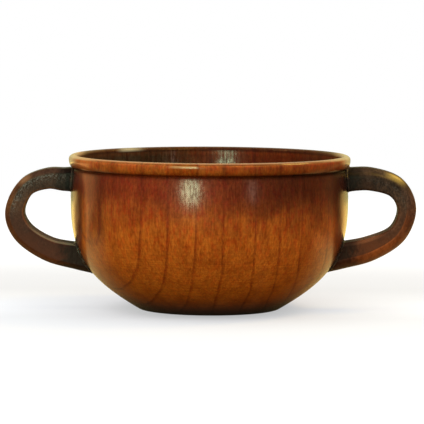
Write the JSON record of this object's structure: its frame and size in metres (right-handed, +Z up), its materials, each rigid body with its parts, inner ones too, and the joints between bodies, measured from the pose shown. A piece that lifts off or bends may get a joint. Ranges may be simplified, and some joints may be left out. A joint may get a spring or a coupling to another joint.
{
  "type": "two-handled wooden cup",
  "caption": "Turned wooden cup with a rounded belly, a beaded rim and a loop handle on each side, pegged and glued to the wall. Holds soup or a drink.",
  "frame": {"origin": "on the table, under the middle of the foot", "axes": "+Z up through the mouth, +X towards the right handle, -Y towards the viewer of the picture"},
  "size_m": [0.1679, 0.115, 0.063],
  "materials": {
    "bowl_wood": "clear gloss lacquer over reddish-brown wood",
    "handle_wood": "clear gloss lacquer over dark brown wood",
    "peg_wood": "bare",
    "glue": "glossy, set glue under the lacquer"
  },
  "bodies": {
    "root": {"bowl": "bowl_wood", "handle_left": "handle_wood", "handle_right": "handle_wood", "peg_left_upper": "peg_wood", "peg_left_lower": "peg_wood", "peg_right_upper": "peg_wood", "peg_right_lower": "peg_wood", "glue_bead_left_upper": "glue", "glue_bead_left_lower": "glue", "glue_bead_right_upper": "glue", "glue_bead_right_lower": "glue"}
  },
  "joints": []
}
